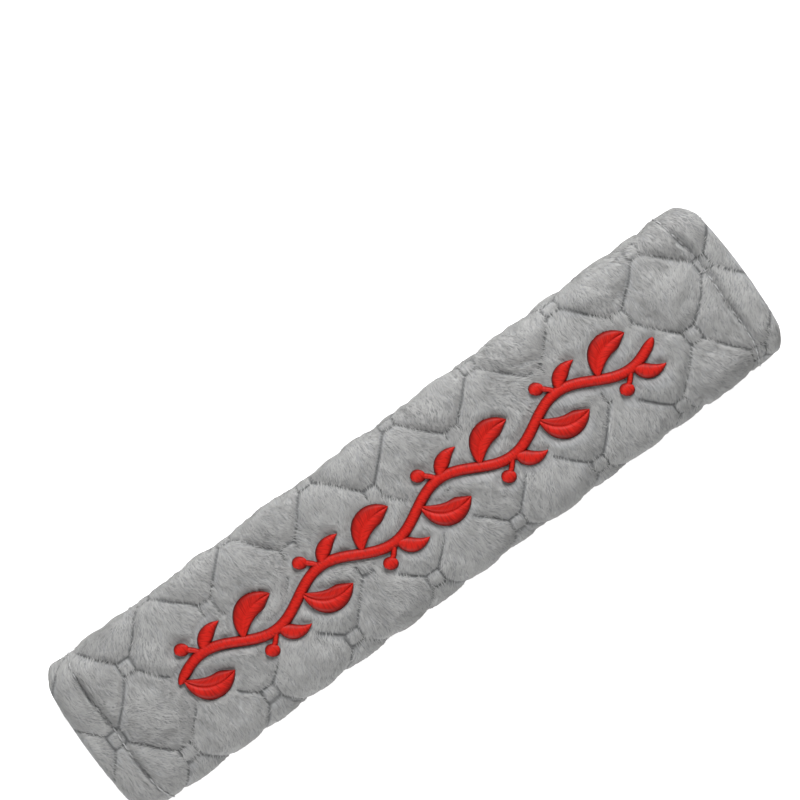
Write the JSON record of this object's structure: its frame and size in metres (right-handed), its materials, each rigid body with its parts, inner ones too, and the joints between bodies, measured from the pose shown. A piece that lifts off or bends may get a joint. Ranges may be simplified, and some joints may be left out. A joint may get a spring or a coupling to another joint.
{
  "type": "seat belt shoulder pad",
  "caption": "Quilted plush sleeve that wraps round a car seat belt's shoulder strap, with a lapped closure under it and an embroidered vine on its front.",
  "frame": {"origin": "middle of the pad's footprint, on the surface that its lapped back lies on", "axes": "+X along the pad, +Y across it, +Z out of its quilted front"},
  "size_m": [0.3, 0.0673, 0.0243],
  "materials": {
    "plush": "short dense plush, quilted",
    "foam": "soft open foam",
    "lining_cloth": "smooth plain weave",
    "fastening_tape": "hook and loop tape",
    "satin_thread": "satin stitch embroidery"
  },
  "bodies": {
    "root": {"quilted_cover": "plush", "foam_sheet": "foam", "lining": "lining_cloth", "loop_tape": "fastening_tape", "hook_tape": "fastening_tape", "embroidered_vine": "satin_thread"}
  },
  "joints": []
}
